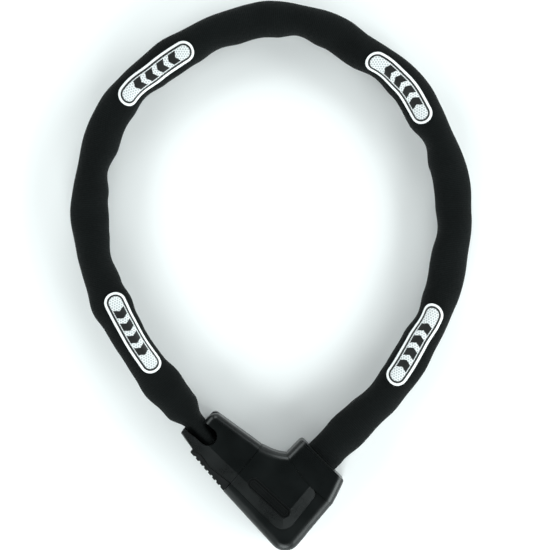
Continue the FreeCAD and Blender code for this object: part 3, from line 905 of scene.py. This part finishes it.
@dataclass
class Labels:
    """The printed patches, each in two halves that bend with the sleeve under them."""

    sleeve: Sleeve
    material: bpy.types.Material
    length: float = 61.0
    width: float = 14.4
    proud: float = 0.18
    thick: float = 0.34
    tip: float = 0.04
    sunk: float = 0.25
    rows: int = 60
    columns: int = 20
    pairs: tuple = ((2, -8.5, -2.3), (5, -7.0, -2.7), (8, -5.0, -2.4), (11, 4.0, -3.4))

    def half_width(self, along: float) -> float:
        """Measure the patch's outline, an oblong with round ends.

        Args:
            along: Distance from the patch's middle.

        Returns:
            Half its width there.
        """
        radius = self.width / 2
        past = abs(along) - (self.length / 2 - radius)
        return radius if past <= 0 else math.sqrt(max(radius * radius - past * past, 0.0))

    def build(self, name: str, middle: float, aside: float, low: float, high: float) -> bpy.types.Object:
        """Make one part of a patch.

        Args:
            name: Name of the object.
            middle: Length along the chain at the patch's middle.
            aside: How far the patch lies from the sleeve's middle line, outwards.
            low: Where this part begins, from the middle.
            high: Where it ends.

        Returns:
            The object, not yet joined to its bodies.
        """
        bm = bmesh.new()
        bmesh.ops.create_grid(bm, x_segments=self.rows, y_segments=self.columns, size=1.0)
        printed = bm.loops.layers.uv.new("print")
        flat = {}
        reach = self.length / 2 - self.tip
        for vert in bm.verts:
            share = (vert.co.x + 1) / 2
            along = low + (high - low) * share
            if low <= -reach:
                along = high - (high - low) * math.sin(math.pi / 2 * (1 - share))
            if high >= reach:
                along = low + (high - low) * math.sin(math.pi / 2 * share)
            along = max(-reach, min(reach, along))
            flat[vert] = (along, vert.co.y * self.half_width(along))
        for face in bm.faces:
            for loop in face.loops:
                loop[printed].uv = flat[loop.vert]
        for vert, (along, across) in flat.items():
            vert.co = self.sleeve.shape.top(middle + along, aside - across, self.proud + self.thick) * MM
        under = bmesh.ops.extrude_face_region(bm, geom=list(bm.faces), use_keep_orig=True)["geom"]
        bmesh.ops.translate(bm, verts=verts_of(under), vec=Vector((0.0, 0.0, -(self.thick + self.sunk) * MM)))
        bmesh.ops.recalc_face_normals(bm, faces=bm.faces)
        return finish_mesh(bm, name, self.material)

    def make(self) -> None:
        """Build and attach both halves of each patch."""
        sleeve = self.sleeve
        for number, (pair, shift, aside) in enumerate(self.pairs, start=1):
            middle = sleeve.shape.route.middle(pair) + shift
            split = sleeve.limits(pair)[0] - middle
            parts = (("near", pair - 1, -self.length / 2, split), ("far", pair, split, self.length / 2))
            for side, index, low, high in parts:
                made = self.build(f"label_{number}_{side}", middle, aside, low, high)
                start, end = sleeve.bend_points(index)
                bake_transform(made, *sleeve.bodies(index), start=start, end=end)
                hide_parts(f"reflective_label_{number}")


# ------------------------------------------------------------------ lock body and plug head
@dataclass
class Arm:
    """The lock's own axes: X along the arm into the body, origin on the seam, Z up."""

    eye_back: float = 28.0

    def __post_init__(self) -> None:
        """Read the axes from the frame's joints."""
        joints = {joint["name"]: joint for joint in frame["joints"]}
        along = Vector(joints["key_turn"]["axis"]).normalized()
        eye = Vector(joints["plug_pivot"]["pos_m"])
        origin = Vector((eye.x, eye.y, 0.0)) + along * self.eye_back * MM
        across = Vector((-along.y, along.x, 0.0))
        self.matrix = Matrix((along, across, Vector((0.0, 0.0, 1.0)))).transposed().to_4x4()
        self.matrix.translation = origin
        self.inverse = self.matrix.inverted()

    def local(self, point: Vector) -> Vector:
        """Return a frame point in the lock's axes, in millimetres."""
        return (self.inverse @ point) / MM


@dataclass(frozen=True)
class SoftRim:
    """Prism with a widely rounded upper rim, which trims the mouldings' outer edges to one curve."""

    corners: tuple
    radius: float
    top: float = 30.02
    bottom: float = -1.0
    segments: int = 8
    spare: float = 1.0012

    def build(self, arm: Arm) -> bpy.types.Object:
        """Make the prism.

        Args:
            arm: The lock's axes.

        Returns:
            The prism, as an object that only serves as a cutter.
        """
        bm = bmesh.new()
        verts = [bm.verts.new((x, y, self.bottom)) for x, y, _ in self.corners]
        bmesh.ops.contextual_create(bm, geom=verts)
        for vert, (_, _, radius) in zip(verts, self.corners):
            if radius:
                before, after = [edge.other_vert(vert).co - vert.co for edge in vert.link_edges]
                reach = radius / math.tan(before.angle(after) / 2)
                bmesh.ops.bevel(bm, geom=[vert], offset=reach, offset_type="OFFSET", segments=self.segments,
                                profile=0.5, affect="VERTICES", clamp_overlap=False, material=-1)
        bm.faces.ensure_lookup_table()
        cap = bm.faces[0]
        if cap.normal.z < 0:
            cap.normal_flip()
        bmesh.ops.scale(bm, vec=Vector((self.spare, self.spare, 1.0)), verts=bm.verts)
        raised = bmesh.ops.extrude_face_region(bm, geom=[cap], use_keep_orig=True)["geom"]
        bmesh.ops.translate(bm, vec=Vector((0.0, 0.0, self.top - self.radius - self.bottom)),
                            verts=verts_of(raised))
        cap = next(item for item in raised if isinstance(item, bmesh.types.BMFace))
        turns = [math.pi / 2 * step / self.segments for step in range(self.segments + 1)]
        for low, high in zip(turns, turns[1:]):
            bmesh.ops.inset_region(bm, faces=[cap], use_even_offset=True,
                                   thickness=self.radius * (math.cos(low) - math.cos(high)),
                                   depth=self.radius * (math.sin(high) - math.sin(low)))
        bmesh.ops.recalc_face_normals(bm, faces=bm.faces)
        bmesh.ops.transform(bm, matrix=arm.matrix @ Matrix.Scale(MM, 4), verts=bm.verts)
        mesh = bpy.data.meshes.new("soft_rim")
        bm.to_mesh(mesh)
        bm.free()
        return new_object("soft_rim", mesh)


@dataclass(frozen=True)
class SoftPart:
    """One CAD moulding whose visible edges are rounded over."""

    node: str
    slot: Slot
    radius: float
    where: Callable[[Vector], bool]
    segments: int = 3
    sharp: float = 16.0
    rim: str = ""


@dataclass
class LockHousing:
    """Soft-edged mouldings of the lock body and the plug head."""

    arm: Arm
    finishes: dict
    thick: float = 30.0
    clear: float = 0.02
    least_kept: float = 0.8
    body_rim: SoftRim = SoftRim(((-8.0, -19.15, 0), (60.8, -28.2, 11.0), (60.8, 19.8, 0), (59.4, 26.5, 0),
                                 (54.2, 46.0, 0), (18.1, 49.0, 0), (16.2, 26.0, 0), (10.0, 22.2, 30.0),
                                 (0.0, 19.8, 0), (-8.0, 17.9, 0)), 6.5)
    plug_rim: SoftRim = SoftRim(((8.0, 20.13, 0), (-39.2, 17.0, 5.4), (-39.2, 6.0, 0), (-58.0, 6.0, 0),
                                 (-58.0, -5.4, 0), (-33.5, -11.8, 0), (-33.5, -26.0, 0),
                                 (8.0, -26.0, 0)), 5.0)

    def parts(self) -> Iterable[SoftPart]:
        """List the mouldings and which of their edges to round.

        Returns:
            Each moulding. Its test reads the middle of an edge, in the lock's axes.
        """
        top = self.thick - 4.3
        return (
            SoftPart("front_cover", Slot.BODY, 0.6, lambda p: p.z > top or (p.x < 0.3 and p.z > 15.5),
                     rim="body"),
            SoftPart("rear_cover", Slot.BODY, 0.6, lambda p: p.z < 4.3 or (p.x < 0.3 and p.z < 14.5)),
            SoftPart("rim_bumper", Slot.BUMPER, 0.6, lambda p: p.z > 27.0 or p.z < 3.0, sharp=30.0,
                     rim="body"),
            SoftPart("chain_collar", Slot.BODY, 0.9, lambda p: p.z > 27.7 or p.z < 2.3 or p.x > 58,
                     sharp=25.0, rim="body"),
            SoftPart("collar_trim", Slot.TRIM, 0.35, lambda p: True, 2, sharp=40.0, rim="body"),
            SoftPart("plug_front_shell", Slot.BODY, 0.5, lambda p: p.z > 22.0 or p.x < -46.0, rim="plug"),
            SoftPart("plug_rear_shell", Slot.BODY, 0.5, lambda p: p.z < 8.0 or p.x < -46.0),
            SoftPart("thumb_grip", Slot.GRIP, 0.35, lambda p: True, 2, sharp=30.0),
            SoftPart("keyhole_cover", Slot.TRIM, 0.3, lambda p: True, 2, sharp=40.0),
        )

    def soften(self, part: SoftPart) -> bpy.types.Object:
        """Copy a CAD moulding and round its chosen edges.

        Args:
            part: The moulding and its rounding.

        Returns:
            The new object, riding on the moulding's body.
        """
        source = frame["nodes"][part.node]
        for radius in (part.radius, part.radius / 2, part.radius / 4):
            bm = self.rounded(source, part, radius)
            if self.strays(bm, source) < 2 * radius:
                break
            bm.free()
        else:
            radius = 0.0
            bm = self.rounded(source, part, radius)
        if part.rim:
            bm = self.trimmed(bm, part)
        made = finish_mesh(bm, f"moulded_{part.node}", self.finishes[part.slot], 32.0)
        weighted = made.modifiers.new("even_shading", "WEIGHTED_NORMAL")
        weighted.keep_sharp = True
        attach(made, body_of(source)[0])
        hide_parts(part.node)
        LOG.info("%s: rounded by %s mm", made.name, radius)
        return made

    def rounded(self, source: bpy.types.Object, part: SoftPart, radius: float) -> bmesh.types.BMesh:
        """Copy a CAD mesh cleanly and round its chosen edges.

        Args:
            source: The CAD node.
            part: The moulding that it becomes.
            radius: The rounding, or 0 for none.

        Returns:
            The copy.
        """
        bm = bmesh.new()
        bm.from_mesh(source.data)
        bmesh.ops.remove_doubles(bm, verts=bm.verts, dist=0.002 * MM)
        bmesh.ops.dissolve_limit(bm, angle_limit=math.radians(0.3), verts=bm.verts, edges=bm.edges,
                                 use_dissolve_boundaries=False, delimit=set())
        if not radius:
            return bm
        limit = math.radians(part.sharp)
        chosen = []
        for edge in bm.edges:
            if edge.is_manifold and edge.calc_face_angle_signed(0.0) > limit:
                middle = self.arm.local((edge.verts[0].co + edge.verts[1].co) / 2)
                if part.where(middle):
                    chosen.append(edge)
        bmesh.ops.bevel(bm, geom=chosen, offset=radius * MM, offset_type="OFFSET", segments=part.segments,
                        profile=0.5, affect="EDGES", clamp_overlap=True, material=-1, loop_slide=False)
        bmesh.ops.dissolve_degenerate(bm, dist=0.0005 * MM, edges=bm.edges)
        return bm

    def trimmed(self, bm: bmesh.types.BMesh, part: SoftPart) -> bmesh.types.BMesh:
        """Cut a moulding to its soft rim, and keep it as it was if the cut is not sound.

        Args:
            bm: The moulding's mesh, which is freed when the cut replaces it.
            part: The moulding.

        Returns:
            The mesh to use.
        """
        rim = self.plug_rim if part.rim == "plug" else self.body_rim
        cutter = replace(rim, top=max(vert.co.z for vert in bm.verts) / MM + self.clear).build(self.arm)
        before = bm.calc_volume()
        mesh = bpy.data.meshes.new("uncut")
        bm.to_mesh(mesh)
        whole = new_object("uncut", mesh)
        cut = whole.modifiers.new("soft_rim", "BOOLEAN")
        cut.operation = "INTERSECT"
        cut.solver = "EXACT"
        cut.object = cutter
        bpy.context.view_layer.update()
        result = bpy.data.meshes.new_from_object(whole.evaluated_get(bpy.context.evaluated_depsgraph_get()))
        fresh = bmesh.new()
        fresh.from_mesh(result)
        bmesh.ops.remove_doubles(fresh, verts=fresh.verts, dist=0.002 * MM)
        bmesh.ops.dissolve_degenerate(fresh, dist=0.0005 * MM, edges=fresh.edges)
        after = fresh.calc_volume()
        LOG.info("%s: trimmed from %.2f to %.2f ml, open edges %d", part.node, before * 1e6, after * 1e6,
                 sum(not edge.is_manifold for edge in fresh.edges))
        for thing in (whole, cutter):
            bpy.data.objects.remove(thing, do_unlink=True)
        if self.least_kept * before < after < before:
            bm.free()
            return fresh
        fresh.free()
        return bm

    @staticmethod
    def strays(bm: bmesh.types.BMesh, source: bpy.types.Object) -> float:
        """Measure how far a mesh goes from its CAD source.

        Args:
            bm: The mesh.
            source: The CAD node.

        Returns:
            The largest distance, in millimetres.
        """
        tree = BVHTree.FromPolygons([v.co for v in source.data.vertices],
                                    [p.vertices for p in source.data.polygons])
        return max(tree.find_nearest(vert.co)[3] for vert in bm.verts) / MM

    def make(self) -> None:
        """Build every moulding."""
        for part in self.parts():
            self.soften(part)


@dataclass
class Cartouche:
    """Oblong plate on the front panel: two raised outlines round a row of chevrons."""

    arm: Arm
    material: bpy.types.Material
    centre: tuple = (25.7, -3.4)
    slope: float = -2.9
    length: float = 36.0
    width: float = 8.2
    surface: float = 29.35
    step: float = 0.5
    rim: float = 0.6
    gap: float = 0.85
    chevrons: int = 4
    arc: int = 36
    chevron_step: float = 5.2
    draft: float = 0.1
    bar: tuple = (1.6, 1.7, 0.26)
    bar_slant: float = 0.5
    bar_level: float = 0.12

    def stadium(self, bm: bmesh.types.BMesh, level: float) -> bmesh.types.BMFace:
        """Make one oblong face with round ends.

        Args:
            bm: The mesh to add it to.
            level: Its height over the lower side of the lock.

        Returns:
            The face.
        """
        made = bmesh.ops.create_circle(bm, cap_ends=True, segments=self.arc, radius=self.width / 2)["verts"]
        bmesh.ops.rotate(bm, matrix=Matrix.Rotation(math.pi / self.arc, 3, "Z"), verts=made)
        for side in (1, -1):
            half = [vert for vert in made if vert.co.x * side > 0]
            bmesh.ops.translate(bm, vec=Vector((side * (self.length - self.width) / 2, 0.0, 0.0)), verts=half)
        bmesh.ops.translate(bm, vec=Vector((0.0, 0.0, level)), verts=made)
        return made[0].link_faces[0]

    def make(self) -> None:
        """Build the plate and let it stand for the CAD plate."""
        bm = bmesh.new()
        face = self.stadium(bm, self.surface)
        if face.normal.z < 0:
            face.normal_flip()
        skirt = bmesh.ops.extrude_face_region(bm, geom=[face])["geom"]
        bmesh.ops.translate(bm, vec=Vector((0.0, 0.0, self.step)),
                            verts=verts_of(skirt))
        bm.faces.ensure_lookup_table()
        cap = max(bm.faces, key=lambda f: (round(f.calc_center_median().z, 4), f.calc_area()))
        ridge = ((self.rim, 0.0), (self.draft, -self.step))
        for thickness, depth in ((self.draft, self.draft), *ridge, (self.gap, 0.0), (self.draft, self.step),
                                 *ridge):
            bmesh.ops.inset_region(bm, faces=[cap], thickness=thickness, depth=depth, use_even_offset=True)
        self.add_chevrons(bm)
        turn = Matrix.Translation(Vector((self.centre[0], self.centre[1], 0.0))) @ Matrix.Rotation(
            math.radians(self.slope), 4, "Z")
        bmesh.ops.transform(bm, matrix=self.arm.matrix @ Matrix.Scale(MM, 4) @ turn, verts=bm.verts)
        bmesh.ops.recalc_face_normals(bm, faces=bm.faces)
        made = finish_mesh(bm, "maker_plate_blank", self.material, 25.0)
        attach(made, "lock_body")
        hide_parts("maker_plate")

    def add_chevrons(self, bm: bmesh.types.BMesh) -> None:
        """Stand a row of small chevrons in the plate's field.

        Args:
            bm: The plate's mesh.
        """
        for number in range(self.chevrons):
            place = (number - (self.chevrons - 1) / 2) * self.chevron_step
            for side in (1, -1):
                made = bmesh.ops.create_cube(bm, size=1.0)["verts"]
                bmesh.ops.scale(bm, vec=Vector(self.bar), verts=made)
                for vert in made:
                    vert.co.x -= self.bar_slant * vert.co.y * side
                offset = Vector((place, side * self.bar[1] / 2, self.surface + self.bar_level))
                bmesh.ops.translate(bm, vec=offset, verts=made)


# ------------------------------------------------------------------ the rest of the CAD nodes, and the studio
def dress_frame(finishes: dict) -> None:
    """Give every CAD node the finish of its slot.

    Args:
        finishes: Material of each slot.
    """
    slots = {part["node"]: Slot(part["material_slot"]) for part in frame["record"]["subparts"]}
    for name, node in frame["nodes"].items():
        node.data.materials.clear()
        node.data.materials.append(finishes[slots[name]])
        LOG.info("%s dressed as %s", name, slots[name].value)


@dataclass
class Studio:
    """Pale floor, soft light from all round and a camera straight above."""

    centre: tuple = (0.00133, -0.00033)
    height: float = 1.6
    view_width: float = 0.3668
    sensor: float = 36.0
    level: float = 0.015
    room: float = 0.09
    lamps: int = 6
    ring: float = 1.1
    lamp_height: float = 0.45
    lamp_size: float = 0.7
    power: float = 9.6
    lean: float = 0.3
    bright_side: float = 320.0
    first_lamp: float = 25.0
    lamp_colour: tuple = (0.92, 1.0, 1.0)
    floor_size: float = 6.0
    floor_level: float = -0.0004
    floor_grey: float = 0.93

    def make(self) -> None:
        """Build the floor, the lights and the camera."""
        scene = bpy.context.scene
        bm = bmesh.new()
        bmesh.ops.create_grid(bm, x_segments=1, y_segments=1, size=self.floor_size)
        bmesh.ops.translate(bm, vec=Vector((0.0, 0.0, self.floor_level)), verts=bm.verts)
        graph = Graph("pale_floor")
        graph.shader.inputs["Base Color"].default_value = (*[self.floor_grey] * 3, 1.0)
        graph.shader.inputs["Roughness"].default_value = 0.9
        floor = finish_mesh(bm, "studio_floor", graph.material)
        world = bpy.data.worlds.new("soft_room")
        world.use_nodes = True
        world.node_tree.nodes["Background"].inputs[0].default_value = (1.0, 1.0, 1.0, 1.0)
        world.node_tree.nodes["Background"].inputs[1].default_value = self.room
        scene.world = world
        for number in range(self.lamps):
            angle = math.radians(self.first_lamp + 360 * number / self.lamps)
            place = Vector((math.cos(angle) * self.ring, math.sin(angle) * self.ring, self.lamp_height))
            lamp = bpy.data.lights.new(f"soft_box_{number}", "AREA")
            lamp.size = self.lamp_size
            lamp.color = self.lamp_colour
            lamp.energy = self.power * (1.0 + self.lean * math.cos(angle - math.radians(self.bright_side)))
            holder = new_object(lamp.name, lamp)
            holder.location = place
            holder.rotation_mode = "QUATERNION"
            holder.rotation_quaternion = (-place).to_track_quat("-Z", "Y")
        camera = bpy.data.cameras.new("camera")
        camera.sensor_width = self.sensor
        camera.lens = self.sensor * (self.height - self.level) / self.view_width
        holder = new_object("camera", camera)
        holder.location = (*self.centre, self.height)
        scene.camera = holder
        scene.view_settings.view_transform = "Standard"
        LOG.info("studio ready")


def main() -> None:
    """Build the looks in order."""
    logging.basicConfig(level=logging.INFO, format="%(message)s")
    route = ChainRoute()
    shape = SleeveShape(route)
    finishes = {
        Slot.BODY: MouldedPlastic("body_plastic").make(),
        Slot.BUMPER: MouldedPlastic("bumper_plastic", (0.0024, 0.0034, 0.0034), (0.0036, 0.0048, 0.0048),
                                    0.33).make(),
        Slot.TRIM: MouldedPlastic("trim_plastic", (0.0034, 0.0042, 0.0042), (0.0052, 0.0062, 0.0062),
                                  0.32).make(),
        Slot.GRIP: Rubber("grip_rubber").make(),
        Slot.STEEL: Metal("hard_steel", (0.34, 0.35, 0.36), (0.52, 0.53, 0.54), 0.30).make(),
        Slot.BRASS: Metal("cylinder_brass", (0.55, 0.42, 0.20), (0.74, 0.60, 0.32), 0.28).make(),
        Slot.CHAIN: Metal("chain_steel", (0.30, 0.31, 0.32), (0.50, 0.50, 0.50), 0.36).make(),
        Slot.SLEEVE: RibbedTextile("sleeve_textile", shape.rib).make(),
        Slot.LABEL: PrintedLabel("label_print", Labels.length, Labels.width).make(),
    }
    dress_frame(finishes)
    sleeve = Sleeve(shape, finishes[Slot.SLEEVE])
    sleeve.make()
    Labels(sleeve, finishes[Slot.LABEL]).make()
    arm = Arm()
    LockHousing(arm, finishes).make()
    Cartouche(arm, finishes[Slot.TRIM]).make()
    Studio().make()


if __name__ == "__main__":
    main()
